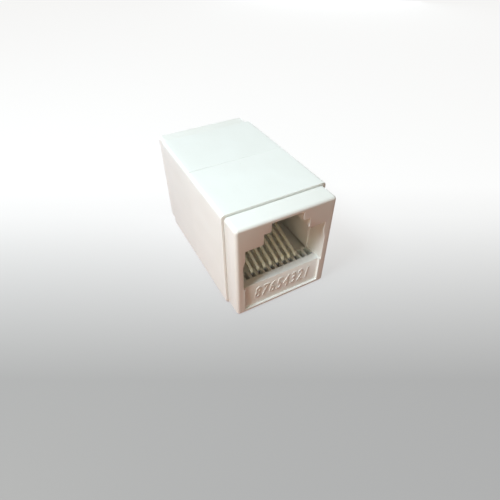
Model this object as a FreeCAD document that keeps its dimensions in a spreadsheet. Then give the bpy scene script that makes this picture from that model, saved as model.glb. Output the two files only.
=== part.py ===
import FreeCAD, Part
import os

import Sketcher
from FreeCAD import Placement, Rotation, Vector

# RJ45 inline coupler: two back-to-back eight-way jacks in a two-piece case.
# Frame: +Z up, jack keyways on top, jacks opening at -Y (near) and +Y (far),
# origin at mid-length and mid-width on the underside of the case.

# Driving sizes in millimetres, with angles in degrees and counts as whole numbers.
sizes = {
    # plug opening of each jack
    "plug_width": 11.9,
    "plug_height": 6.9,        # ledge under the plug up to the shoulders
    "plug_reach": 11.95,       # jack face to the wall that stops the plug
    "step_width": 6.8,         # keyway, lower and wider part
    "step_height": 1.65,
    "notch_width": 4.7,        # keyway, upper and narrower part
    "notch_height": 1.33,
    "latch_lip": 1.3,          # thickness of the face that the plug's latch hooks behind
    "mouth_round": 0.2,        # radius on the keyway's corners
    # jack housing
    "side_wall": 0.87,
    "housing_floor": 0.9,
    "roof_land": 0.27,         # housing above the latch room
    "front_wall": 1.5,
    "relief_step": 0.29,       # widening each side where the contacts lie
    "relief_height": 4.3,
    "relief_rise": 1.0,        # height of the sloped end of that widening
    "relief_depth": 3.3,
    "panel_width": 12.1,
    "panel_depth": 0.35,
    "panel_rim": 0.63,
    "bezel_reach": 2.92,       # jack face proud of the end of the case
    "shadow_gap": 0.1,         # open line between bezel and case
    "side_inset": 0.32,        # bezel smaller than the case, each side
    "top_inset": 0.35,
    "base_inset": 0.05,
    "bezel_corner": 0.55,
    "bezel_round": 0.45,
    # snap barbs on the housing's sides
    "barb_proud": 0.3,
    "barb_length": 1.8,
    "barb_height": 4.0,
    "barb_level": 6.0,         # lower edge of the barb
    "barb_station": 5.0,       # catch face from mid-length
    "barb_seat": 0.36,         # depth of the seat in the case wall
    # case
    "case_wall": 0.7,
    "case_corner": 0.5,
    "case_end_round": 0.06,
    "seam_shift": 0.3,         # seam between the halves, past mid-length towards the far end
    "seam_bevel": 0.07,
    "lap_reach": 1.5,
    "lap_wall": 0.32,
    # contact carrier
    "carrier_height": 3.0,     # floor of the housing to the top of the comb
    "comb_drop": 0.3,          # comb below the ledge
    "deck_drop": 0.2,          # deck behind the comb, below the comb
    "back_wall": 0.8,
    "back_drop": 0.1,          # back wall below the shoulders
    "slot_width": 0.6,
    "slot_count": 12,          # eight hold contacts, two each side stay empty
    "comb_land": 0.4,          # comb behind its slots
    "groove_width": 0.5,
    "guide_depth": 0.45,
    "guide_room": 0.5,         # guide groove above the contact's free end
    # spring contacts
    "contact_count": 8,
    "contact_pitch": 1.02,
    "contact_width": 0.46,
    "contact_thickness": 0.3,
    "contact_angle": 18,
    "bend_radius": 0.5,        # on the strip's middle line
    "nose_depth": 2.75,        # jack face to the upright part of the strip
    "run_gap": 0.1,            # strip above the housing floor
    "row_step": 1.8,           # between the two rows of tails
    "tail_land": 0.05,         # straight strip between last bend and board
    "tail_short": 0.1,         # tail end short of the board's other face
    "free_end": 0.3,           # contact end inside its guide groove
    # circuit board
    "board_thickness": 1.0,
    "board_hole": 0.7,
    # running clearance between pieces that slide together
    "fit_gap": 0.05,
}

# Sizes that follow from them.
formulas = {
    "board_face": "=board_thickness / 2",
    "front_face": "=board_face + back_wall + plug_reach",
    "case_half": "=front_face - bezel_reach",
    "bezel_depth": "=bezel_reach - shadow_gap",
    "body_width": "=plug_width + 2 * side_wall",
    "case_inside": "=body_width + 2 * fit_gap",
    "case_width": "=case_inside + 2 * case_wall",
    "bezel_width": "=case_width - 2 * side_inset",
    "relief_width": "=plug_width + 2 * relief_step",
    "floor_level": "=case_wall + housing_floor",
    "comb_level": "=floor_level + carrier_height",
    "ledge_level": "=comb_level + comb_drop",
    "deck_level": "=comb_level - deck_drop",
    "shoulder_level": "=ledge_level + plug_height",
    "step_level": "=shoulder_level + step_height",
    "notch_level": "=step_level + notch_height",
    "body_top": "=notch_level + roof_land",
    "case_ceiling": "=body_top + fit_gap",
    "case_height": "=case_ceiling + case_wall",
    "bezel_top": "=case_height - top_inset",
    "rim_level": "=base_inset + panel_rim",
    "carrier_width": "=relief_width - 2 * fit_gap",
    "back_width": "=plug_width - 2 * fit_gap",
    "back_top": "=shoulder_level - back_drop",
    "half_strip": "=contact_thickness / 2",
    "strip_slant": "=half_strip / cos(contact_angle)",
    "inner_bend": "=bend_radius - half_strip",
    "outer_bend": "=bend_radius + half_strip",
    "run_level": "=floor_level + run_gap + half_strip",
    "groove_top": "=run_level + half_strip",
    "upper_level": "=run_level + row_step",
    "nose_y": "=nose_depth - front_face",
    "jog_y": "=-board_face - tail_land - bend_radius",
    "tail_y": "=board_face - tail_short",
    "free_y": "=free_end - board_face - back_wall",
    "comb_y": "=front_wall + fit_gap - front_face",
    "slot_rear": "=nose_y + bend_radius",
    "nose_rise": "=half_strip * tan(contact_angle)",
    "free_level": "=ledge_level + (free_y - nose_y) * tan(contact_angle)",
    "guide_top": "=free_level + strip_slant + guide_room",
    "first_contact": "=-(contact_count - 1) / 2 * contact_pitch",
    "first_slot": "=-(slot_count - 1) / 2 * contact_pitch",
}

os.makedirs("parts", exist_ok=True)
doc = FreeCAD.newDocument("inline_coupler")
sheet = doc.addObject("Spreadsheet::Sheet", "Sizes")
for row, (alias, content) in enumerate(list(sizes.items()) + list(formulas.items()), 1):
    sheet.set(f"A{row}", alias)
    sheet.set(f"B{row}", str(content))
    sheet.setAlias(f"B{row}", alias)
doc.recompute()


def number(expression):
    """Value of a sheet expression, for first geometry and for finding edges."""
    return float(sheet.evalExpression(expression))


def bind(thing, path, expression):
    """Bind a property to sheet cells; the expression names cells as Sizes.name."""
    thing.setExpression(path, expression)


def sketch_on(body, name, plane, offset="0"):
    """Empty sketch on one of the body's origin planes, moved along its normal."""
    sketch = body.newObject("Sketcher::SketchObject", name)
    support = next(f for f in body.Origin.OriginFeatures if f.Role == plane)
    sketch.AttachmentSupport = (support, [""])
    sketch.MapMode = "FlatFace"
    bind(sketch, "AttachmentOffset.Base.z", offset)
    return sketch


def hold(sketch, kind, axis, edge, end, expression):
    """Fix one coordinate of a point by an expression, or lay it on the axis at zero."""
    if expression == "0":
        sketch.addConstraint(Sketcher.Constraint("PointOnObject", edge, end, axis))
        return
    value = number(expression)
    constraint = sketch.addConstraint(Sketcher.Constraint(kind, -1, 1, edge, end, value))
    bind(sketch, f"Constraints[{constraint}]", expression)


def outline(sketch, corners):
    """Closed outline of straight edges; each corner is a pair of expressions."""
    first = sketch.GeometryCount
    points = [Vector(number(across), number(up), 0) for across, up in corners]
    for start, end in zip(points, points[1:] + points[:1]):
        sketch.addGeometry(Part.LineSegment(start, end), False)
    for index, (across, up) in enumerate(corners):
        edge = first + index
        following = first + (index + 1) % len(corners)
        sketch.addConstraint(Sketcher.Constraint("Coincident", edge, 2, following, 1))
        hold(sketch, "DistanceX", -2, edge, 1, across)
        hold(sketch, "DistanceY", -1, edge, 1, up)
    return sketch


def rectangle(sketch, left, right, low, high):
    return outline(sketch, [(left, low), (right, low), (right, high), (left, high)])


def centred(sketch, width, low, high):
    """Rectangle of the given width about the vertical axis."""
    return rectangle(sketch, f"-{width} / 2", f"{width} / 2", low, high)


def circle(sketch, across, up, radius):
    edge = sketch.addGeometry(
        Part.Circle(Vector(number(across), number(up), 0), Vector(0, 0, 1), number(radius)))
    hold(sketch, "DistanceX", -2, edge, 3, across)
    hold(sketch, "DistanceY", -1, edge, 3, up)
    size = sketch.addConstraint(Sketcher.Constraint("Radius", edge, number(radius)))
    bind(sketch, f"Constraints[{size}]", radius)
    return sketch


def build(body, feature, added):
    """Recompute, and stop if the feature did not change the solid as it should."""
    before = body.Tip.Shape.Volume if body.Tip and body.Tip is not feature else 0.0
    body.Tip = feature
    doc.recompute()
    change = feature.Shape.Volume - before
    if not feature.isValid() or (change <= 0 if added else change >= 0):
        raise RuntimeError(f"{body.Label}: {feature.Name} changed nothing")
    return feature


def extrude(body, kind, name, sketch, length, reverse):
    before = body.Tip
    feature = body.newObject(kind, name)
    feature.Profile = sketch
    feature.Reversed = reverse
    bind(feature, "Length", length)
    body.Tip = before
    return build(body, feature, kind == "PartDesign::Pad")


def pad(body, name, sketch, length, reverse=False):
    return extrude(body, "PartDesign::Pad", name, sketch, length, reverse)


def pocket(body, name, sketch, length, reverse=False):
    return extrude(body, "PartDesign::Pocket", name, sketch, length, reverse)


def repeat(body, name, feature, sketch, count, pitch):
    """Copies of a pocket along the sketch's horizontal axis."""
    pattern = body.newObject("PartDesign::LinearPattern", name)
    pattern.Originals = [feature]
    pattern.Direction = (sketch, ["H_Axis"])
    pattern.Mode = "Spacing"
    bind(pattern, "Offset", pitch)
    bind(pattern, "Occurrences", count)
    body.Tip = feature
    return build(body, pattern, False)


def near_value(value, expression):
    return abs(value - number(expression)) < 1e-4


def dress(body, kind, name, size, chosen):
    """Fillet or chamfer on the edges of the current solid that chosen() picks."""
    base = body.Tip
    edges = [f"Edge{i}" for i, edge in enumerate(base.Shape.Edges, 1) if chosen(edge)]
    feature = body.newObject(kind, name)
    feature.Base = (base, edges)
    bind(feature, "Radius" if kind == "PartDesign::Fillet" else "Size", size)
    body.Tip = feature
    doc.recompute()
    if not edges or not feature.isValid():
        raise RuntimeError(f"{body.Label}: {name} found no edges or failed")
    return feature


def along(edge, direction):
    """True for a straight edge parallel to the direction."""
    ends = edge.Vertexes
    if len(ends) != 2 or edge.Curve.TypeId != "Part::GeomLine":
        return False
    run = (ends[1].Point - ends[0].Point).normalize()
    return abs(abs(run.dot(direction)) - 1) < 1e-6


def at_y(edge, expression):
    """True for an edge that lies wholly in the plane at this Y."""
    box = edge.BoundBox
    return near_value(box.YMin, expression) and near_value(box.YMax, expression)


def at_corner(edge, across, up):
    """True for an edge along the coupler that stands at this distance each side and level."""
    middle = edge.CenterOfMass
    return (along(edge, Vector(0, 1, 0)) and near_value(abs(middle.x), across)
            and near_value(middle.z, up))


def new_body(name):
    body = doc.addObject("PartDesign::Body", name)
    body.Label = name
    return body


def face_far_end(body):
    """Turn a piece built for the near end to face the far end."""
    body.Placement = Placement(Vector(0, 0, 0), Rotation(Vector(0, 0, 1), 180))


def make_case_half(name, seam, tongue):
    """Half sleeve from the seam, so far from mid-length, to the end, with its half of the lap."""
    body = new_body(name)
    length = f"Sizes.case_half - ({seam})"
    shell = sketch_on(body, "case_section", "XZ_Plane", seam)
    centred(shell, "Sizes.case_width", "0", "Sizes.case_height")
    pad(body, "case_block", shell, length)
    dress(body, "PartDesign::Fillet", "long_edges", "Sizes.case_corner",
          lambda edge: along(edge, Vector(0, 1, 0)))
    dress(body, "PartDesign::Fillet", "end_round", "Sizes.case_end_round",
          lambda edge: at_y(edge, "-case_half"))
    dress(body, "PartDesign::Chamfer", "seam_line", "Sizes.seam_bevel",
          lambda edge: at_y(edge, f"-({seam})"))
    bore = sketch_on(body, "bore_section", "XZ_Plane", seam)
    centred(bore, "Sizes.case_inside", "Sizes.case_wall", "Sizes.case_ceiling")
    pocket(body, "bore", bore, length, True)

    # lap joint: a thin tongue inside on one half, a rebate for it on the other
    reach = "Sizes.lap_wall" if tongue else "(Sizes.lap_wall + Sizes.fit_gap)"
    lap = sketch_on(body, "lap_section", "XZ_Plane", seam)
    centred(lap, f"(Sizes.case_inside + 2 * {reach})",
            f"Sizes.case_wall - {reach}", f"Sizes.case_ceiling + {reach}")
    if tongue:
        centred(lap, "Sizes.case_inside", "Sizes.case_wall", "Sizes.case_ceiling")
        pad(body, "lap_tongue", lap, "Sizes.lap_reach", True)
    else:
        pocket(body, "lap_rebate", lap, "Sizes.lap_reach + Sizes.fit_gap", True)

    # seats for the jack housing's snap barbs, sunk into the inside of both side walls
    seats = sketch_on(body, "barb_seat_plan", "XY_Plane", "Sizes.barb_level - Sizes.fit_gap")
    for side in ("-", ""):
        rectangle(seats, f"{side}(Sizes.case_inside / 2 - Sizes.fit_gap)",
                  f"{side}(Sizes.case_inside / 2 + Sizes.barb_seat)",
                  "-Sizes.barb_station - Sizes.fit_gap",
                  "-Sizes.barb_station + Sizes.barb_length + Sizes.fit_gap")
    pocket(body, "barb_seats", seats, "Sizes.barb_height + 2 * Sizes.fit_gap", True)
    return body


def make_jack_housing(name):
    """Bezel with the stepped plug opening, and the sleeve behind it that the case holds."""
    body = new_body(name)
    bezel = sketch_on(body, "bezel_section", "XZ_Plane", "Sizes.front_face")
    centred(bezel, "Sizes.bezel_width", "Sizes.base_inset", "Sizes.bezel_top")
    pad(body, "bezel", bezel, "Sizes.bezel_depth", True)
    dress(body, "PartDesign::Fillet", "bezel_edges", "Sizes.bezel_corner",
          lambda edge: along(edge, Vector(0, 1, 0)))
    dress(body, "PartDesign::Fillet", "face_round", "Sizes.bezel_round",
          lambda edge: at_y(edge, "-front_face"))
    inner = sketch_on(body, "body_section", "XZ_Plane", "Sizes.front_face - Sizes.bezel_depth")
    centred(inner, "Sizes.body_width", "Sizes.case_wall", "Sizes.body_top")
    pad(body, "body", inner, "Sizes.front_face - Sizes.bezel_depth - Sizes.board_face", True)

    # plug opening: plug body below, latch keyway above in two steps
    length = "Sizes.front_face - Sizes.board_face"
    plug_way = sketch_on(body, "plug_section", "XZ_Plane", "Sizes.front_face")
    outline(plug_way, [
        ("-Sizes.plug_width / 2", "Sizes.ledge_level"),
        ("Sizes.plug_width / 2", "Sizes.ledge_level"),
        ("Sizes.plug_width / 2", "Sizes.shoulder_level"),
        ("Sizes.step_width / 2", "Sizes.shoulder_level"),
        ("Sizes.step_width / 2", "Sizes.step_level"),
        ("-Sizes.step_width / 2", "Sizes.step_level"),
        ("-Sizes.step_width / 2", "Sizes.shoulder_level"),
        ("-Sizes.plug_width / 2", "Sizes.shoulder_level")])
    pocket(body, "plug_way", plug_way, length)
    dress(body, "PartDesign::Fillet", "shoulder_corners", "Sizes.mouth_round",
          lambda edge: at_corner(edge, "step_width / 2", "shoulder_level"))
    notch = sketch_on(body, "notch_section", "XZ_Plane", "Sizes.front_face")
    centred(notch, "Sizes.notch_width", "Sizes.step_level", "Sizes.notch_level")
    pocket(body, "keyway_notch", notch, "Sizes.latch_lip")

    # room behind the lip for the latch, open at the top inside the case
    latch = sketch_on(body, "latch_section", "XZ_Plane", "Sizes.front_face - Sizes.latch_lip")
    centred(latch, "Sizes.step_width", "Sizes.step_level", "Sizes.notch_level")
    pocket(body, "latch_room", latch, f"{length} - Sizes.latch_lip")
    dress(body, "PartDesign::Fillet", "notch_corners", "Sizes.mouth_round",
          lambda edge: at_corner(edge, "notch_width / 2", "step_level"))
    roof_start = "Sizes.front_face - Sizes.bezel_depth - Sizes.roof_land"
    roof = sketch_on(body, "roof_section", "XZ_Plane", roof_start)
    centred(roof, "Sizes.step_width", "Sizes.notch_level", "Sizes.body_top")
    pocket(body, "roof_slot", roof, f"{roof_start} - Sizes.board_face")

    # wider zone beside the contacts, closed at the top by a slope
    relief = sketch_on(body, "relief_section", "XZ_Plane", "Sizes.front_face")
    outline(relief, [
        ("-Sizes.relief_width / 2", "Sizes.ledge_level"),
        ("Sizes.relief_width / 2", "Sizes.ledge_level"),
        ("Sizes.relief_width / 2", "Sizes.ledge_level + Sizes.relief_height"),
        ("Sizes.plug_width / 2", "Sizes.ledge_level + Sizes.relief_height + Sizes.relief_rise"),
        ("-Sizes.plug_width / 2", "Sizes.ledge_level + Sizes.relief_height + Sizes.relief_rise"),
        ("-Sizes.relief_width / 2", "Sizes.ledge_level + Sizes.relief_height")])
    pocket(body, "contact_relief", relief, "Sizes.relief_depth")

    # channel behind the front wall, where the contact carrier slides in from the back
    channel = sketch_on(body, "channel_section", "XZ_Plane", "Sizes.front_face - Sizes.front_wall")
    outline(channel, [
        ("-Sizes.relief_width / 2", "Sizes.floor_level"),
        ("Sizes.relief_width / 2", "Sizes.floor_level"),
        ("Sizes.relief_width / 2", "Sizes.comb_level + Sizes.fit_gap"),
        ("Sizes.plug_width / 2", "Sizes.comb_level + Sizes.fit_gap"),
        ("Sizes.plug_width / 2", "Sizes.ledge_level"),
        ("-Sizes.plug_width / 2", "Sizes.ledge_level"),
        ("-Sizes.plug_width / 2", "Sizes.comb_level + Sizes.fit_gap"),
        ("-Sizes.relief_width / 2", "Sizes.comb_level + Sizes.fit_gap")])
    pocket(body, "carrier_channel", channel, f"{length} - Sizes.front_wall")

    panel = sketch_on(body, "panel_section", "XZ_Plane", "Sizes.front_face")
    centred(panel, "Sizes.panel_width", "Sizes.rim_level", "Sizes.ledge_level")
    pocket(body, "face_panel", panel, "Sizes.panel_depth")

    # snap barbs: the ramp leads into the case and the square face holds
    barbs = sketch_on(body, "barb_plan", "XY_Plane", "Sizes.barb_level")
    for side in ("-", ""):
        outline(barbs, [
            (f"{side}(Sizes.body_width / 2 - Sizes.fit_gap)", "-Sizes.barb_station"),
            (f"{side}(Sizes.body_width / 2 + Sizes.barb_proud)", "-Sizes.barb_station"),
            (f"{side}(Sizes.body_width / 2 - Sizes.fit_gap)",
             "-Sizes.barb_station + Sizes.barb_length")])
    pad(body, "snap_barbs", barbs, "Sizes.barb_height")
    return body


def make_contact_carrier(name):
    """Insulator: comb in front, deck over the contact runs, back wall that guides their ends."""
    body = new_body(name)
    base = sketch_on(body, "base_profile", "YZ_Plane", "-Sizes.carrier_width / 2")
    outline(base, [
        ("Sizes.comb_y", "Sizes.floor_level"),
        ("-Sizes.board_face", "Sizes.floor_level"),
        ("-Sizes.board_face", "Sizes.deck_level"),
        ("Sizes.slot_rear + Sizes.comb_land", "Sizes.deck_level"),
        ("Sizes.slot_rear + Sizes.comb_land", "Sizes.comb_level"),
        ("Sizes.comb_y", "Sizes.comb_level")])
    pad(body, "base", base, "Sizes.carrier_width")
    back = sketch_on(body, "back_section", "XZ_Plane", "Sizes.board_face")
    centred(back, "Sizes.back_width", "Sizes.floor_level", "Sizes.back_top")
    pad(body, "back", back, "Sizes.back_wall")

    slot = sketch_on(body, "slot_plan", "XY_Plane", "Sizes.comb_level")
    rectangle(slot, "Sizes.first_slot - Sizes.slot_width / 2",
              "Sizes.first_slot + Sizes.slot_width / 2", "Sizes.comb_y", "Sizes.slot_rear")
    cut = pocket(body, "comb_slot", slot, "Sizes.carrier_height")
    repeat(body, "comb", cut, slot, "Sizes.slot_count", "Sizes.contact_pitch")

    groove = sketch_on(body, "groove_plan", "XY_Plane", "Sizes.groove_top")
    rectangle(groove, "Sizes.first_contact - Sizes.groove_width / 2",
              "Sizes.first_contact + Sizes.groove_width / 2",
              "Sizes.slot_rear", "-Sizes.board_face")
    cut = pocket(body, "run_groove", groove, "Sizes.groove_top - Sizes.floor_level")
    repeat(body, "run_grooves", cut, groove, "Sizes.contact_count", "Sizes.contact_pitch")

    # every second contact climbs to the upper row of board holes
    second = "Sizes.first_contact + Sizes.contact_pitch"
    climb = sketch_on(body, "climb_section", "XZ_Plane", "Sizes.board_face")
    rectangle(climb, f"{second} - Sizes.groove_width / 2", f"{second} + Sizes.groove_width / 2",
              "Sizes.groove_top", "Sizes.upper_level + Sizes.half_strip")
    cut = pocket(body, "climb_slot", climb,
                 "2 * Sizes.bend_radius + Sizes.tail_land", True)
    repeat(body, "climb_slots", cut, climb, "Sizes.contact_count / 2",
           "2 * Sizes.contact_pitch")

    guide = sketch_on(body, "guide_section", "XZ_Plane", "Sizes.board_face + Sizes.back_wall")
    rectangle(guide, "Sizes.first_contact - Sizes.slot_width / 2",
              "Sizes.first_contact + Sizes.slot_width / 2", "Sizes.deck_level", "Sizes.guide_top")
    cut = pocket(body, "guide_groove", guide, "Sizes.guide_depth")
    repeat(body, "end_guides", cut, guide, "Sizes.contact_count", "Sizes.contact_pitch")
    return body


def make_contact(name, upper_tail):
    """Formed spring strip: board tail, run under the deck, upright nose, sloping spring."""
    body = new_body(name)
    half = "Sizes.half_strip"
    spring = "Sizes.ledge_level + (Sizes.free_y - Sizes.nose_y) * tan(Sizes.contact_angle)"
    if upper_tail:
        tail = [("Sizes.tail_y", f"Sizes.upper_level - {half}"),
                ("Sizes.tail_y", f"Sizes.upper_level + {half}"),
                (f"Sizes.jog_y - {half}", f"Sizes.upper_level + {half}"),
                (f"Sizes.jog_y - {half}", f"Sizes.run_level + {half}")]
        heel = [(f"Sizes.jog_y + {half}", f"Sizes.run_level - {half}"),
                (f"Sizes.jog_y + {half}", f"Sizes.upper_level - {half}")]
    else:
        tail = [("Sizes.tail_y", f"Sizes.run_level - {half}"),
                ("Sizes.tail_y", f"Sizes.run_level + {half}")]
        heel = []
    side = sketch_on(body, "strip_profile", "YZ_Plane", "-Sizes.contact_width / 2")
    outline(side, tail + [
        (f"Sizes.nose_y + {half}", f"Sizes.run_level + {half}"),
        (f"Sizes.nose_y + {half}", "Sizes.ledge_level + Sizes.nose_rise - Sizes.strip_slant"),
        ("Sizes.free_y", f"{spring} - Sizes.strip_slant"),
        ("Sizes.free_y", f"{spring} + Sizes.strip_slant"),
        (f"Sizes.nose_y - {half}", "Sizes.ledge_level - Sizes.nose_rise + Sizes.strip_slant"),
        (f"Sizes.nose_y - {half}", f"Sizes.run_level - {half}")] + heel)
    pad(body, "strip", side, "Sizes.contact_width")

    # (Y, Z) of the strip's inside and outside corner at each bend
    inside = [("nose_y + half_strip", "run_level + half_strip"),
              ("nose_y + half_strip", "ledge_level + nose_rise - strip_slant")]
    outside = [("nose_y - half_strip", "run_level - half_strip"),
               ("nose_y - half_strip", "ledge_level - nose_rise + strip_slant")]
    if upper_tail:
        inside += [("jog_y - half_strip", "run_level + half_strip"),
                   ("jog_y + half_strip", "upper_level - half_strip")]
        outside += [("jog_y + half_strip", "run_level - half_strip"),
                    ("jog_y - half_strip", "upper_level + half_strip")]

    def at_bend(edge, corners):
        middle = edge.CenterOfMass
        return along(edge, Vector(1, 0, 0)) and any(
            near_value(middle.y, y) and near_value(middle.z, z) for y, z in corners)

    dress(body, "PartDesign::Fillet", "inside_bends", "Sizes.inner_bend",
          lambda edge: at_bend(edge, inside))
    dress(body, "PartDesign::Fillet", "outside_bends", "Sizes.outer_bend",
          lambda edge: at_bend(edge, outside))
    return body


def make_board(name):
    """Board across the middle, with two rows of holes that both ends' tails share."""
    body = new_body(name)
    plate = sketch_on(body, "board_section", "XZ_Plane", "Sizes.board_face")
    centred(plate, "Sizes.body_width", "Sizes.case_wall", "Sizes.body_top")
    pad(body, "plate", plate, "Sizes.board_thickness", True)
    for row, level in (("lower", "Sizes.run_level"), ("upper", "Sizes.upper_level")):
        hole = sketch_on(body, f"{row}_hole_plan", "XZ_Plane", "Sizes.board_face")
        circle(hole, "Sizes.first_contact", level, "Sizes.board_hole / 2")
        cut = pocket(body, f"{row}_hole", hole, "Sizes.board_thickness")
        repeat(body, f"{row}_row", cut, hole, "Sizes.contact_count", "Sizes.contact_pitch")
    return body


pieces = [make_board("circuit_board")]
for end in ("near", "far"):
    ends_pieces = [
        make_case_half(f"{end}_case_half",
                       seam="Sizes.seam_shift" if end == "far" else "-Sizes.seam_shift",
                       tongue=(end == "far")),
        make_jack_housing(f"{end}_jack_housing"),
        make_contact_carrier(f"{end}_contact_carrier")]
    for index in range(int(number("contact_count"))):
        contact = make_contact(f"{end}_contact_{index + 1}", upper_tail=(index % 2 == 0))
        ends_pieces.append(contact)
    for piece in ends_pieces:
        if end == "far":
            face_far_end(piece)
    # contact 1 is the rightmost as one looks into either jack
    for index, contact in enumerate(ends_pieces[3:]):
        turn = "-" if end == "near" else ""
        bind(contact, "Placement.Base.x",
             f"{turn}(Sizes.first_contact + {index} * Sizes.contact_pitch)")
    pieces += ends_pieces
doc.recompute()

for thing in doc.Objects:
    if "Invalid" in thing.State or "Error" in thing.State:
        raise RuntimeError(f"{thing.Name} is {thing.State}")
for piece in pieces:
    shape = piece.Shape
    if shape.isNull() or not shape.isValid() or len(shape.Solids) != 1:
        raise RuntimeError(f"{piece.Label} is not one sound solid")
for piece in pieces:
    piece.Shape.exportStep(f"parts/{piece.Label}.step")
    print(f"{piece.Label}: {piece.Shape.Volume:.2f} mm3")
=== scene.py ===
import math

import bmesh
import bpy
import numpy as np
from mathutils import Matrix, Vector


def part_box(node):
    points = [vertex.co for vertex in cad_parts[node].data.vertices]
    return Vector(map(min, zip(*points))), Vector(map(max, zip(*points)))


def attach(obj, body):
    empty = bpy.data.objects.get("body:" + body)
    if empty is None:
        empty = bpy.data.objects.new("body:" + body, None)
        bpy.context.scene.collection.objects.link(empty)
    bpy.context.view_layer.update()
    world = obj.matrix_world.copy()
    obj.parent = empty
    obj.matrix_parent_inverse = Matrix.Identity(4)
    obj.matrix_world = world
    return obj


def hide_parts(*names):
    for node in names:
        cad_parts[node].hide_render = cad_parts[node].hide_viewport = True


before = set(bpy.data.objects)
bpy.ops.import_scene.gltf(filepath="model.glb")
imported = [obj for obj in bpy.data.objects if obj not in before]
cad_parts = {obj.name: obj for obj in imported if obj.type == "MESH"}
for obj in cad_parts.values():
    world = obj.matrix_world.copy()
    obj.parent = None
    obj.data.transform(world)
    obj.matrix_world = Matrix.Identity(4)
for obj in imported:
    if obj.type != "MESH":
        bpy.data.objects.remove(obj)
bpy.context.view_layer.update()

# Inline coupler: a white two-piece case that holds two eight-way jacks back to back.
# Metres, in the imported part's frame: near jack at -Y, far jack at +Y, keyways up.
mm = 0.001
quarter = math.pi / 2
ends = {"near": 1, "far": -1}  # -1 turns a piece drawn for the near end to the far end
print("packed part loaded:", len(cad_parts), "nodes")


def boxOf(node):
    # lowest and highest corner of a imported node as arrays
    low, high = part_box(node)
    return np.array(low), np.array(high)


# Meshes

def gridFaces(rows, columns, closeRows=False):
    # quads between neighbouring points of a grid whose columns run round a closed profile
    row, column = np.meshgrid(np.arange(rows - (not closeRows)), np.arange(columns), indexing="ij")
    row, column = row.ravel(), column.ravel()
    nextRow, nextColumn = (row + 1) % rows, (column + 1) % columns
    return np.column_stack([row * columns + column, row * columns + nextColumn,
                            nextRow * columns + nextColumn, nextRow * columns + column])


def turned(points, turn):
    # half a turn about Z negates X and Y
    return points * np.array([turn, turn, 1.0])


def cleanMesh(mesh, mergeWithin=0.0004 * mm, flatWithin=None):
    # joins coincident points and drops faces without area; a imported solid's flat faces are
    # joined up again, and a new surface's normals are pointed outwards
    work = bmesh.new()
    work.from_mesh(mesh)
    bmesh.ops.remove_doubles(work, verts=work.verts, dist=mergeWithin)
    bmesh.ops.dissolve_degenerate(work, edges=work.edges, dist=mergeWithin)
    if flatWithin is not None:
        bmesh.ops.dissolve_limit(work, angle_limit=flatWithin, verts=work.verts, edges=work.edges)
        bmesh.ops.triangulate(work, faces=work.faces, quad_method="BEAUTY", ngon_method="BEAUTY")
    else:
        bmesh.ops.recalc_face_normals(work, faces=work.faces)
    work.to_mesh(mesh)
    work.free()


def addPiece(name, mesh, material, standsFor=(), sharpAbove=35):
    # links the mesh as an object of the part, smooth except across edges above this many degrees
    piece = bpy.data.objects.new(name, mesh)
    bpy.context.scene.collection.objects.link(piece)
    mesh.materials.clear()
    mesh.materials.append(material)
    mesh.shade_smooth()
    mesh.set_sharp_from_angle(angle=math.radians(sharpAbove))
    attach(piece, "root")
    if standsFor:
        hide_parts(*standsFor)
    return piece


def surfaceMesh(name, points, faces):
    # a mesh from a grid of points and the quads between them
    mesh = bpy.data.meshes.new(name)
    mesh.from_pydata(points.reshape(-1, 3).tolist(), [], faces.tolist())
    cleanMesh(mesh)
    return mesh


# Node trees

class Value:
    # a node's output in a sum: every operator adds one Math node to the tree
    def __init__(self, tree, output):
        self.tree = tree
        self.output = output

    def math(self, operation, *terms):
        # a Math node whose sockets are the terms, in their order
        return addNode(self.tree, "Math", {"operation": operation}, dict(enumerate(terms)))

    def __add__(self, other):
        return self.math("ADD", self, other)

    def __sub__(self, other):
        return self.math("SUBTRACT", self, other)

    def __rsub__(self, other):
        return self.math("SUBTRACT", other, self)

    def __mul__(self, other):
        return self.math("MULTIPLY", self, other)

    def __truediv__(self, other):
        return self.math("DIVIDE", self, other)

    def __pow__(self, other):
        return self.math("POWER", self, other)

    def __abs__(self):
        return self.math("ABSOLUTE", self)

    __radd__ = __add__
    __rmul__ = __mul__

    def least(self, other):
        return self.math("MINIMUM", self, other)

    def most(self, other):
        return self.math("MAXIMUM", self, other)

    def fraction(self):
        return self.math("FRACT", self)

    def sine(self):
        return self.math("SINE", self)

    def fade(self, start, stop):
        # 0 at start, 1 at stop, smooth between
        return addNode(self.tree, "MapRange", {"interpolation_type": "SMOOTHSTEP"},
                       {0: self, 1: start, 2: stop, 3: 0.0, 4: 1.0})

    def mix(self, first, second):
        # the first colour where this is 0, the second where it is 1
        return addNode(self.tree, "Mix", {"data_type": "RGBA"}, {0: self, 6: first, 7: second},
                       out=2)


def addNode(tree, kind, settings=None, values=None, out=0):
    # one node of any kind: settings first, then each socket's number, colour or link
    node = tree.nodes.new("ShaderNode" + kind)
    for name, setting in (settings or {}).items():
        if name == "stops":
            ramp = node.color_ramp
            while len(ramp.elements) < len(setting):
                ramp.elements.new(1)
            for element, (place, colour) in zip(ramp.elements, setting):
                element.position = place
                element.color = colour
        else:
            setattr(node, name, setting)
    for socket, value in (values or {}).items():
        if isinstance(value, Value):
            tree.links.new(value.output, node.inputs[socket])
        else:
            node.inputs[socket].default_value = value
    return Value(tree, node.outputs[out])


def opaque(red, green, blue):
    # a colour socket's four numbers
    return (red, green, blue, 1.0)


def grey(tone):
    # the same tone in all three
    return opaque(tone, tone, tone)


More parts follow.
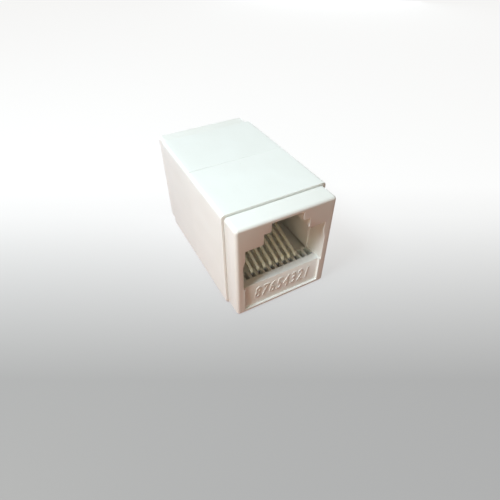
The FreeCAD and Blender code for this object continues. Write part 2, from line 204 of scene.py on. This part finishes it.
class Finish:
    # a material with one Principled shader, and the shorthands its patterns need
    def __init__(self, name, **constants):
        self.material = bpy.data.materials.new(name)
        self.material.use_nodes = True
        self.tree = self.material.node_tree
        self.shader = self.tree.nodes["Principled BSDF"]
        for socket, value in constants.items():
            self.shader.inputs[socket].default_value = value
        self.place = addNode(self.tree, "TexCoord", out="Object")
        self.x = addNode(self.tree, "SeparateXYZ", values={0: self.place}, out="X")
        self.z = addNode(self.tree, "SeparateXYZ", values={0: self.place}, out="Z")

    def noise(self, size, detail, seed, stretch=(1, 1, 1)):
        # noise whose blobs are about this size in metres, drawn out along an axis by stretch
        at = addNode(self.tree, "Mapping", values={
            0: self.place, "Location": (seed, seed, seed),
            "Scale": tuple(1 / size / s for s in stretch)})
        return addNode(self.tree, "TexNoise", values={
            "Vector": at, "Scale": 1.0, "Detail": detail})

    def feed(self, socket, value):
        # links a pattern to one of the shader's sockets
        self.tree.links.new(value.output, self.shader.inputs[socket])

    def bump(self, layers):
        # height layers one over the other: each is a pattern, its height in metres
        normal = None
        for pattern, height in layers:
            values = {"Height": pattern, "Distance": height, "Strength": 1.0}
            if normal is not None:
                values["Normal"] = normal
            normal = addNode(self.tree, "Bump", values=values)
        self.feed("Normal", normal)


# Finishes

caseFinish = {
    "colour": opaque(0.88, 0.885, 0.865),
    "roughness": 0.42,
    "ior": 1.49,
    "seed": 1.0,
    "cloudColour": opaque(0.86, 0.862, 0.838),
    "cloudSize": 4 * mm,
    "cloudStretch": (1, 1.6, 1),   # along Y, the way the plastic flowed
    "cloudRange": (0.3, 0.7),      # where the noise turns from plain colour to cloud
    "cloudHeight": 0.004 * mm,
    "cloudSwing": 0.12,            # roughness between the clouds' ends
    "grainSize": 0.09 * mm,
    "grainHeight": 0.0016 * mm,
    "grainSwing": 0.08,
    "speckColour": opaque(0.55, 0.52, 0.46),
    "speckSize": 0.22 * mm,
    "speckRange": (0.74, 0.79),
    "speckShare": 0.25,
    "speckRougher": 0.1,
}
# painted shade: the far half's plastic is a slightly darker copy of the near half's, for its roof
# that catches less light
farCaseShadedFinish = {**caseFinish, "seed": 11.0, "colour": opaque(0.868, 0.874, 0.855),
                 "cloudColour": opaque(0.85, 0.853, 0.83)}
jackFinish = {**caseFinish, "seed": 23.0, "colour": opaque(0.875, 0.87, 0.845),
              "cloudColour": opaque(0.86, 0.85, 0.82), "roughness": 0.31}
carrierFinish = {**caseFinish, "seed": 31.0, "colour": opaque(0.83, 0.86, 0.82),
                 "cloudColour": opaque(0.79, 0.82, 0.78), "roughness": 0.48,
                 "grainHeight": 0.003 * mm}


def makeMouldedPlastic(name, look):
    # injection-moulded plastic: satin grain, faint flow clouds and a few grime specks
    finish = Finish(name, IOR=look["ior"])
    seed = look["seed"]
    cloud = finish.noise(look["cloudSize"], 3.0, seed, look["cloudStretch"])
    grain = finish.noise(look["grainSize"], 2.0, seed + 3)
    speck = finish.noise(look["speckSize"], 1.0, seed + 7).fade(*look["speckRange"])
    tint = cloud.fade(*look["cloudRange"]).mix(look["colour"], look["cloudColour"])
    finish.feed("Base Color", (speck * look["speckShare"]).mix(tint, look["speckColour"]))
    finish.feed("Roughness", look["roughness"] + (cloud - 0.5) * look["cloudSwing"]
                + (grain - 0.5) * look["grainSwing"] + speck * look["speckRougher"])
    finish.bump([(grain, look["grainHeight"]), (cloud, look["cloudHeight"])])
    return finish.material


contactFinish = {
    "gold": opaque(0.72, 0.67, 0.50),
    "paleGold": opaque(0.69, 0.66, 0.54),
    "nickel": opaque(0.50, 0.49, 0.46),
    "roughness": 0.82,
    "nickelRougher": 0.12,
    "goldFrom": 4.5 * mm,          # height where the gold starts on the nose
    "goldBlend": 0.2 * mm,
    "goldWave": 0.5 * mm,          # how far the gold's edge wanders up and down
    "patchSize": 0.8 * mm,
    "patchRange": (0.35, 0.7),
    "streakSize": 0.05 * mm,
    "streakStretch": (1, 30, 30),
    "streakHeight": 0.0008 * mm,
    "streakSwing": 0.25,
}


def makeContactPlating(look):
    # gold over nickel: drawn-strip streaks along the spring, gold fading out down the nose
    finish = Finish("contactPlating", Metallic=1.0)
    streak = finish.noise(look["streakSize"], 3.0, 5.0, look["streakStretch"])
    patch = finish.noise(look["patchSize"], 3.0, 9.0)
    level = finish.z + (patch - 0.5) * look["goldWave"]
    plated = level.fade(look["goldFrom"] - look["goldBlend"], look["goldFrom"] + look["goldBlend"])
    gold = patch.fade(*look["patchRange"]).mix(look["gold"], look["paleGold"])
    finish.feed("Base Color", plated.mix(look["nickel"], gold))
    finish.feed("Roughness", look["roughness"] + (streak - 0.5) * look["streakSwing"]
                + (1 - plated) * look["nickelRougher"])
    finish.bump([(streak, look["streakHeight"])])
    return finish.material


boardFinish = {
    "resist": opaque(0.03, 0.16, 0.07),
    "resistLight": opaque(0.05, 0.22, 0.10),
    "tin": opaque(0.70, 0.68, 0.63),
    "roughness": 0.32,
    "ior": 1.5,
    "pitch": 1.02 * mm,
    "lowerRow": 1.85 * mm,
    "rowStep": 1.8 * mm,
    "padRadius": 0.47 * mm,
    "padBlend": 0.02 * mm,
    "padHeight": 0.02 * mm,
    "padRougher": 0.1,
    "fieldEdge": (4.05 * mm, 4.1 * mm),  # no pads further from the middle than this
    "weaveSize": 0.3 * mm,
    "weaveHeight": 0.004 * mm,
    "weaveShare": 0.2,
    "mottleSize": 1.2 * mm,
    "mottleRange": (0.4, 0.8),
    "mottleSwing": 0.2,
}


def makeBoardLaminate(look):
    # green solder resist over glass weave, with a tinned ring round every hole of both rows
    finish = Finish("boardLaminate", IOR=look["ior"])
    offCentre = ((finish.x / look["pitch"]).fraction() - 0.5) * look["pitch"]

    def fromHole(level):
        # distance from the nearest hole of the row at this height
        up = finish.z - level
        return (offCentre * offCentre + up * up) ** 0.5

    nearest = fromHole(look["lowerRow"]).least(fromHole(look["lowerRow"] + look["rowStep"]))
    beyondPad = nearest.fade(look["padRadius"] - look["padBlend"],
                             look["padRadius"] + look["padBlend"])
    pad = (1 - beyondPad) * (1 - abs(finish.x).fade(*look["fieldEdge"]))
    turns = 2 * math.pi / look["weaveSize"]
    weave = (finish.x * turns).sine() * (finish.z * turns).sine() * 0.5 + 0.5
    mottle = finish.noise(look["mottleSize"], 3.0, 4.0)
    pale = (mottle + weave * look["weaveShare"]).fade(*look["mottleRange"])
    resist = pale.mix(look["resist"], look["resistLight"])
    finish.feed("Base Color", pad.mix(resist, look["tin"]))
    finish.feed("Metallic", pad)
    finish.feed("Roughness", look["roughness"] + (mottle - 0.5) * look["mottleSwing"]
                + pad * look["padRougher"])
    finish.bump([(weave, look["weaveHeight"]), (pad, look["padHeight"])])
    return finish.material


materials = {
    "nearCase": makeMouldedPlastic("nearCasePlastic", caseFinish),
    "farCase": makeMouldedPlastic("farCaseShadedPlastic", farCaseShadedFinish),
    "jack": makeMouldedPlastic("jackPlastic", jackFinish),
    "carrier": makeMouldedPlastic("carrierPlastic", carrierFinish),
    "contact": makeContactPlating(contactFinish),
    "board": makeBoardLaminate(boardFinish),
}
print("finishes ready")


# Case halves

caseLook = {
    "wall": 0.7 * mm,
    "cornerRadius": 0.5 * mm,
    "endRound": 0.06 * mm,
    "seamBevel": 0.03 * mm,
    "seamGapLeft": 0.06 * mm,   # open seam on the roof, closing towards +X
    "seamGapRight": 0.01 * mm,
    "boreCorner": 0.05 * mm,
    "boreEdge": 0.06 * mm,      # bevel where the bore opens at the end
    "lapReach": 1.5 * mm,
    "lapWall": 0.32 * mm,
    "fitGap": 0.05 * mm,        # between the tongue and its rebate
    "seatFrom": -5.05 * mm,     # seats for the jack's snap barbs
    "seatTo": -3.15 * mm,
    "seatLow": 5.95 * mm,
    "seatHigh": 10.05 * mm,
    "seatDepth": 0.36 * mm,
    "sinkDepth": 0.05 * mm,     # shallow mark outside, over each barb seat
    "sinkStation": -4.8 * mm,
    "sinkLevel": 11.4 * mm,
    "sinkLong": 1.9 * mm,
    "sinkTall": 1.3 * mm,
    "wallSpan": (0.1, 0.9),     # shares of the height and of the width that carry points
    "roofSpan": (-0.42, 0.42),
    "wallPoints": 33,           # how finely the profile and the length are divided
    "roofPoints": 21,
    "cornerPoints": 7,
    "lengthStations": 56,
}


def roundedBox(look, width, height):
    # points round a rectangle with round corners, as (side of X, side of Z, angle, own X, own Z);
    # a corner point has no X or Z of its own, a wall point keeps its height at every station
    # and a roof or floor point its X. The barb seat's two heights come twice on each wall.
    seats = [look["seatLow"], look["seatHigh"]]
    wallZ = np.union1d(np.linspace(*look["wallSpan"], look["wallPoints"]) * height, seats)
    wallZ = np.sort(np.concatenate([wallZ, seats]))
    roofX = np.linspace(*look["roofSpan"], look["roofPoints"]) * width
    corner = np.linspace(0, quarter, look["cornerPoints"])

    def stretch(sideX, sideZ, angle, ownX=np.nan, ownZ=np.nan):
        return np.column_stack(np.broadcast_arrays(sideX, sideZ, angle, ownX, ownZ))

    return np.concatenate([
        stretch(1, 1, 0, ownZ=wallZ), stretch(1, 1, corner),
        stretch(1, 1, quarter, ownX=roofX[::-1]), stretch(-1, 1, corner + quarter),
        stretch(-1, 1, 2 * quarter, ownZ=wallZ[::-1]), stretch(-1, -1, corner + 2 * quarter),
        stretch(1, -1, -quarter, ownX=roofX), stretch(1, -1, corner + 3 * quarter)])


def makeCaseHalf(name, turn, tongue, material, look=caseLook):
    # a sleeve: the section through its wall is a list of stations from the seam along the
    # outside to the end and back through the bore, and each station carries the rounded box
    low, high = boxOf("near_case_half")
    width, height, length = high[0] - low[0], high[2], -low[1]
    seam = high[1] * turn
    profile = roundedBox(look, width, height)
    sideX, sideZ, angle, ownX, ownZ = (profile[:, i][None, :] for i in range(5))

    # each station: inset from outside, Y, corner radius, in the barb seat, under the sink mark
    bevel, edge, radius = look["seamBevel"], look["endRound"], look["cornerRadius"]
    mouth, wall, bore = look["boreEdge"], look["wall"], look["boreCorner"]
    stations = [(bevel, seam, radius - bevel, 0, 0)]
    stations += [(0.0, y, radius, 0, 1) for y in
                 np.linspace(seam - bevel, -(length - edge), look["lengthStations"])]
    stations += [(edge * (1 - math.cos(a)), -(length - edge) - edge * math.sin(a),
                  radius - edge * (1 - math.cos(a)), 0, 0)
                 for a in np.linspace(0, quarter, look["cornerPoints"])[1:]]
    stations += [(wall - mouth, -length, bore + mouth, 0, 0), (wall, -length + mouth, bore, 0, 0)]
    stations += [(wall, look["seatFrom"], bore, seat, 0) for seat in (0, 1)]
    stations += [(wall, look["seatTo"], bore, seat, 0) for seat in (1, 0)]
    # the far half's tongue reaches past the seam, into the near half's rebate
    if tongue:
        lap = wall - look["lapWall"]
        reach = seam + look["lapReach"]
    else:
        lap = wall - look["lapWall"] - look["fitGap"]
        reach = seam - look["lapReach"] - look["fitGap"]
    stations += [(wall, reach, bore, 0, 0), (lap, reach, bore, 0, 0), (lap, seam, bore, 0, 0)]
    inset, y, corner, seat, sink = (np.array(stations)[:, i][:, None] for i in range(5))

    # corner centre plus radius along the angle; wall and roof points keep their own Z or X
    x = sideX * (width / 2 - inset - corner) + corner * np.cos(angle)
    z = np.where(sideZ > 0, height - inset - corner, inset + corner) + corner * np.sin(angle)
    x = np.where(np.isnan(ownX), x, ownX)
    z = np.where(np.isnan(ownZ), z, ownZ)
    onWall = ~np.isnan(ownZ)
    # the barb seat pushes the bore's wall outwards from the second point at its first height
    # to the first point at its second height
    passed = np.cumsum(onWall & np.isin(ownZ, (look["seatLow"], look["seatHigh"])), axis=1)
    inSeat = onWall & (passed % 4 >= 2)
    x = x + sideX * look["seatDepth"] * seat * inSeat
    # the sink mark is a bell-shaped hollow in the outer wall
    hollow = np.exp(-((y - look["sinkStation"]) / look["sinkLong"]) ** 2
                    - ((z - look["sinkLevel"]) / look["sinkTall"]) ** 2)
    x = x - sideX * look["sinkDepth"] * hollow * sink * onWall
    # on the roof each half draws back from the seam by half the gap, which narrows from left
    # to right and fades out within a millimetre below the roof
    toLeft = 0.5 - x * turn / width
    gap = look["seamGapRight"] + (look["seamGapLeft"] - look["seamGapRight"]) * toLeft
    onRoof = np.clip((z - height) / mm + 1, 0, 1)
    atSeam = np.abs(y - seam) < bevel * 1.5  # the stations on both sides of the bevel
    y = y - gap / 2 * onRoof * atSeam
    points = np.stack(np.broadcast_arrays(x, y, z), axis=-1)
    mesh = surfaceMesh(name, turned(points, turn),
                       gridFaces(points.shape[0], points.shape[1], closeRows=True))
    return addPiece(name, mesh, material, [name.replace("_shell", "_half")])


makeCaseHalf("near_case_shell", ends["near"], False, materials["nearCase"])
makeCaseHalf("far_case_shell", ends["far"], True, materials["farCase"])
print("case halves ready")


# Jack housings and contact carriers

jackLook = {
    "edge": 0.06 * mm,
    "segments": 3,
    "flatWithin": 0.5,  # degrees: faces joined up as one
    "roundAbove": 40,   # degrees: edges that are rounded
}
carrierLook = {**jackLook, "edge": 0.03 * mm, "segments": 2}


def bevelledCopy(node, name, material, look):
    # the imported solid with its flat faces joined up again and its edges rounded
    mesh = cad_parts[node].data.copy()
    mesh.name = name
    cleanMesh(mesh, flatWithin=math.radians(look["flatWithin"]))
    piece = addPiece(name, mesh, material, [node])
    edges = piece.modifiers.new("edges", "BEVEL")
    edges.width = look["edge"]
    edges.segments = look["segments"]
    edges.limit_method = "ANGLE"
    edges.angle_limit = math.radians(look["roundAbove"])
    edges.harden_normals = True
    edges.use_clamp_overlap = True
    return piece


for end in ends:
    bevelledCopy(f"{end}_jack_housing", f"{end}_jack_shell", materials["jack"],
                 jackLook)
    bevelledCopy(f"{end}_contact_carrier", f"{end}_carrier_comb", materials["carrier"],
                 carrierLook)
print("jack housings and carriers ready")


# Spring contacts

contactLook = {
    "width": 0.46 * mm,
    "thickness": 0.3 * mm,
    "edgeRadius": 0.07 * mm,
    "sectionPoints": 24,
    "sharpAbove": 50,                     # degrees
    "bendRadius": 0.5 * mm,
    "bendPoints": 8,
    "springAngle": math.radians(18),
    "springEnd": -1.0 * mm,
    "jogStation": -1.05 * mm,             # an odd contact climbs to the board's upper row here
    "rowStep": 1.8 * mm,
    "endInset": (1.0, 0.9, 0.6, 0.0),     # the end's round, in edge radii: back from the tip
    "endDrawIn": (0.0, 0.35, 0.75, 1.0),  # and in from the sides
}


def bentPath(corners, radius, count):
    # straight runs joined by arcs: each corner gives way to an arc that touches both runs
    places = [corners[0]]
    for before, corner, after in zip(corners, corners[1:], corners[2:]):
        back = (before - corner) / np.linalg.norm(before - corner)
        ahead = (after - corner) / np.linalg.norm(after - corner)
        half = math.acos(float(back @ ahead)) / 2
        centre = corner + (back + ahead) / np.linalg.norm(back + ahead) * radius / math.sin(half)
        first = corner + back * radius / math.tan(half) - centre
        last = corner + ahead * radius / math.tan(half) - centre
        share = np.linspace(0, 1, count)[:, None]
        sweep = math.pi - 2 * half
        arc = (np.sin((1 - share) * sweep) * first + np.sin(share * sweep) * last) / math.sin(sweep)
        places.extend(centre + arc)
    places.append(corners[-1])
    return np.array(places)


def makeContact(end, number, look=contactLook):
    # a strip bent in its own YZ plane: tail in the board, run under the deck, nose, sprung arm
    node = f"{end}_contact_{number}"
    turn = ends[end]
    low, high = boxOf(node)
    if turn < 0:
        low[1], high[1] = -high[1], -low[1]  # a far contact is drawn at the near end first
    middleX = (low[0] + high[0]) / 2 * turn
    half = look["thickness"] / 2
    nose, tail, run = low[1] + half, high[1], low[2] + half
    springTop = high[2] - half / math.cos(look["springAngle"])
    ledge = springTop - (look["springEnd"] - nose) * math.tan(look["springAngle"])
    corners = [(nose, run), (nose, ledge), (look["springEnd"], springTop)]
    if number % 2:
        jog, upper = look["jogStation"], run + look["rowStep"]
        corners = [(tail, upper), (jog, upper), (jog, run)] + corners
    else:
        corners = [(tail, run)] + corners
    path = bentPath([np.array(c) for c in corners], look["bendRadius"], look["bendPoints"])

    # the ends close over a small round: stations draw in as they reach the end plane, and the
    # last one shrinks to a point
    along = np.gradient(path, axis=0)
    along /= np.linalg.norm(along, axis=1)[:, None]
    inset = np.array(look["endInset"]) * look["edgeRadius"]
    drawIn = np.array(look["endDrawIn"]) * look["edgeRadius"]
    added = len(inset) + 1
    head = path[0] + along[0] * inset[::-1][:, None]
    toe = path[-1] - along[-1] * inset[:, None]
    path = np.concatenate([[head[0]], head, path[1:-1], toe, [toe[-1]]])
    along = np.concatenate([np.repeat(along[:1], added, 0), along[1:-1],
                            np.repeat(along[-1:], added, 0)])
    draw = np.zeros(len(path))
    draw[:added] = np.concatenate([[look["thickness"]], drawIn[::-1]])
    draw[-added:] = np.concatenate([drawIn, [look["thickness"]]])

    # strip section: a rectangle with round corners, carried square to the path
    angle = (np.arange(look["sectionPoints"]) + 0.5) / look["sectionPoints"] * 2 * math.pi
    wide, thick = look["width"] / 2 - look["edgeRadius"], half - look["edgeRadius"]
    across = np.sign(np.cos(angle)) * wide + look["edgeRadius"] * np.cos(angle)
    above = np.sign(np.sin(angle)) * thick + look["edgeRadius"] * np.sin(angle)
    keepWide = np.clip(1 - draw / (look["width"] / 2), 0, 1)[:, None]
    keepThick = np.clip(1 - draw / half, 0, 1)[:, None]
    normal = np.column_stack([-along[:, 1], along[:, 0]])
    points = np.stack(np.broadcast_arrays(
        middleX + across * keepWide,
        path[:, :1] + above * keepThick * normal[:, :1],
        path[:, 1:] + above * keepThick * normal[:, 1:]), axis=-1)
    name = f"{end}_spring_{number}"
    mesh = surfaceMesh(name, turned(points, turn), gridFaces(points.shape[0], points.shape[1]))
    return addPiece(name, mesh, materials["contact"], [node],
                    sharpAbove=look["sharpAbove"])


for end in ends:
    for number in range(1, 9):
        makeContact(end, number)
print("spring contacts ready")


# Pin numbers in the panel under each opening

numberLook = {
    "digits": "87654321",       # from left to right
    "size": 3.0 * mm,
    "narrow": 0.62,             # share of the plain letter's width
    "spacing": 1.16 * mm,
    "slant": 0.3,
    "proud": 0.06 * mm,         # half the letter's depth, before its rounded edge
    "edge": 0.025 * mm,
    "edgeSteps": 2,
    "curveSteps": 6,
    "thinner": -0.03 * mm,      # the strokes are drawn in from the plain letter's outline
    "panelBack": -12.9 * mm,
    "middleLevel": 2.85 * mm,
    "mergeWithin": 0.001 * mm,
}


def makePinNumbers(name, turn, material, look=numberLook):
    # raised numerals in the order of the jack's contacts; they are drawn in millimetres, so that
    # their rounding stays fine, and then narrowed and stood up in the panel
    joined = bmesh.new()
    middle = (len(look["digits"]) - 1) / 2
    for place, digit in enumerate(look["digits"]):
        curve = bpy.data.curves.new(name, "FONT")
        curve.body = digit
        curve.size = look["size"] / mm
        curve.shear = look["slant"]
        curve.extrude = look["proud"] / mm
        curve.bevel_depth = look["edge"] / mm
        curve.offset = look["thinner"] / mm
        curve.bevel_resolution = look["edgeSteps"]
        curve.resolution_u = look["curveSteps"]
        curve.align_x = "CENTER"
        curve.align_y = "CENTER"
        letter = bpy.data.objects.new(name, curve)
        bpy.context.scene.collection.objects.link(letter)
        bpy.context.view_layer.update()
        evaluated = letter.evaluated_get(bpy.context.evaluated_depsgraph_get())
        mesh = bpy.data.meshes.new_from_object(evaluated)
        bpy.data.objects.remove(letter)
        across = (place - middle) * look["spacing"]
        mesh.transform(Matrix.Translation((across, look["panelBack"], look["middleLevel"]))
                       @ Matrix.Rotation(quarter, 4, "X") @ Matrix.Scale(mm, 4)
                       @ Matrix.Scale(look["narrow"], 4, (1, 0, 0)))
        joined.from_mesh(mesh)
        bpy.data.meshes.remove(mesh)
    bmesh.ops.remove_doubles(joined, verts=joined.verts, dist=look["mergeWithin"])
    bmesh.ops.recalc_face_normals(joined, faces=joined.faces)
    if turn < 0:
        bmesh.ops.transform(joined, matrix=Matrix.Rotation(math.pi, 4, "Z"), verts=joined.verts)
    mesh = bpy.data.meshes.new(name)
    joined.to_mesh(mesh)
    joined.free()
    return addPiece(name, mesh, material)


for end, turn in ends.items():
    makePinNumbers(f"{end}_pin_numbers", turn, materials["jack"])
print("pin numbers ready")


# Circuit board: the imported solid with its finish

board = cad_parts["circuit_board"]
board.data.materials.clear()
board.data.materials.append(materials["board"])
print("circuit board ready")


# Floor, light and camera

stageLook = {
    "floorSide": 3.0,
    # painted shade: the paper is painted darker towards toneStart and grows paler along one
    # direction: each tone and its share of toneLength
    "shadeTones": ((0.324, 0.425), (0.727, 0.86), (0.784, 0.91), (0.92, 0.985)),
    "toneStart": Vector((-21.17, -42.35, 0)) * mm,
    "toneHeading": math.radians(28.61),    # from +Y towards +X
    "toneLength": 70 * mm,
    "paleTone": 0.985,
    "paleFrom": 80 * mm,                   # this far from toneStart it turns pale all round
    "paleTo": 200 * mm,
    "paperGlow": 1.05,
    "shadowShare": 0.15,
    "bounce": opaque(0.25, 0.03, 0.02),
    "ambient": opaque(0.205, 0.170, 0.10),
    # each lamp: where it stands, the side of its square, its power in watts and its colour
    "lamps": {
        "softbox": (Vector((-0.100, -0.023, 0.143)), 0.05, 0.345, (0.75, 0.88, 0.95)),
        "leftCard": (Vector((-0.049, -0.031, 0.010)), 0.025, 0.0048, (1.0, 0.86, 0.58)),
        "frontFill": (Vector((-0.090, -0.140, 0.090)), 0.08, 0.025, (0.95, 0.92, 0.80)),
        "backFill": (Vector((0.140, 0.160, 0.012)), 0.1, 0.08, (0.80, 0.93, 1.0)),
    },
    "aim": Vector((0, 0, 0.008)),
    "cameraAt": Vector((-21.17, -42.35, 43.04)) * mm,
    "cameraHeading": math.radians(28.61),  # from +Y towards +X
    "cameraDip": math.radians(43.27),
    "cameraLens": 27.28,
    "cameraSensor": 36,
    "cameraNearest": 1 * mm,
}


def seenRays(tree):
    # 1 for rays from the camera, off gloss or through glass, and 0 for those that light things
    rays = tree.nodes.new("ShaderNodeLightPath")
    camera, gloss, glass = (Value(tree, rays.outputs[name]) for name in
                            ("Is Camera Ray", "Is Glossy Ray", "Is Transmission Ray"))
    return camera.most(gloss.most(glass))


def makeFloor(look):
    # a square of paper that shows its own tone, painted darker towards toneStart as painted shade,
    # mixed with a share of lit paper for the shadow
    half = look["floorSide"] / 2
    mesh = bpy.data.meshes.new("floor")
    mesh.from_pydata([(-half, -half, 0), (half, -half, 0), (half, half, 0), (-half, half, 0)],
                     [], [(0, 1, 2, 3)])
    floor = bpy.data.objects.new("floor", mesh)
    bpy.context.scene.collection.objects.link(floor)
    material = bpy.data.materials.new("floorPaper")
    material.use_nodes = True
    tree = material.node_tree
    tree.nodes.clear()
    place = addNode(tree, "TexCoord", out="Object")
    start = look["toneStart"]
    ahead = Vector((math.sin(look["toneHeading"]), math.cos(look["toneHeading"]), 0))
    along = addNode(tree, "VectorMath", {"operation": "DOT_PRODUCT"},
                    {0: place, 1: tuple(ahead)}, out="Value")
    offset = addNode(tree, "VectorMath", {"operation": "SUBTRACT"}, {0: place, 1: tuple(start)})
    away = addNode(tree, "VectorMath", {"operation": "LENGTH"}, {0: offset}, out="Value")
    # painted shade: the ramp darkens the paper towards toneStart, fading to pale further off
    stops = [(share, grey(tone)) for share, tone in look["shadeTones"]]
    near = addNode(tree, "ValToRGB", {"stops": stops},
                   {0: (along - start.dot(ahead)) / look["toneLength"]})
    paper = away.fade(look["paleFrom"], look["paleTo"]).mix(near, grey(look["paleTone"]))
    glow = addNode(tree, "Emission", values={"Color": paper, "Strength": look["paperGlow"]})
    lit = addNode(tree, "BsdfDiffuse", values={"Color": paper})
    shown = addNode(tree, "MixShader", values={0: look["shadowShare"], 1: glow, 2: lit})
    hidden = addNode(tree, "BsdfDiffuse", values={"Color": look["bounce"]})
    whole = addNode(tree, "MixShader", values={0: seenRays(tree), 1: hidden, 2: shown})
    end = tree.nodes.new("ShaderNodeOutputMaterial")
    tree.links.new(whole.output, end.inputs["Surface"])
    mesh.materials.append(material)


def makeLight(look):
    # square lamps turned to the object, and a world that is white to look at and dim as light
    for name, (place, side, power, colour) in look["lamps"].items():
        lamp = bpy.data.lights.new(name, "AREA")
        lamp.shape = "SQUARE"
        lamp.size = side
        lamp.energy = power
        lamp.color = colour
        panel = bpy.data.objects.new(name, lamp)
        panel.location = place
        panel.rotation_mode = "QUATERNION"
        panel.rotation_quaternion = (look["aim"] - place).to_track_quat("-Z", "Y")
        bpy.context.scene.collection.objects.link(panel)

    world = bpy.data.worlds.new("studio")
    world.use_nodes = True
    tree = world.node_tree
    tree.nodes.clear()
    around = addNode(tree, "Background", values={"Color": look["ambient"]})
    white = addNode(tree, "Background", values={"Color": grey(1)})
    whole = addNode(tree, "MixShader", values={0: seenRays(tree), 1: around, 2: white})
    end = tree.nodes.new("ShaderNodeOutputWorld")
    tree.links.new(whole.output, end.inputs["Surface"])
    bpy.context.scene.world = world


def makeCamera(look):
    # looks along its heading, dipped below the horizon
    lens = bpy.data.cameras.new("camera")
    lens.lens = look["cameraLens"]
    lens.sensor_width = look["cameraSensor"]
    lens.clip_start = look["cameraNearest"]
    camera = bpy.data.objects.new("camera", lens)
    heading, dip = look["cameraHeading"], look["cameraDip"]
    ahead = Vector((math.sin(heading) * math.cos(dip), math.cos(heading) * math.cos(dip),
                    -math.sin(dip)))
    camera.location = look["cameraAt"]
    camera.rotation_mode = "QUATERNION"
    camera.rotation_quaternion = ahead.to_track_quat("-Z", "Y")
    bpy.context.scene.collection.objects.link(camera)
    bpy.context.scene.camera = camera


makeFloor(stageLook)
makeLight(stageLook)
makeCamera(stageLook)
bpy.context.scene.view_settings.view_transform = "Standard"
print("floor, light and camera ready")
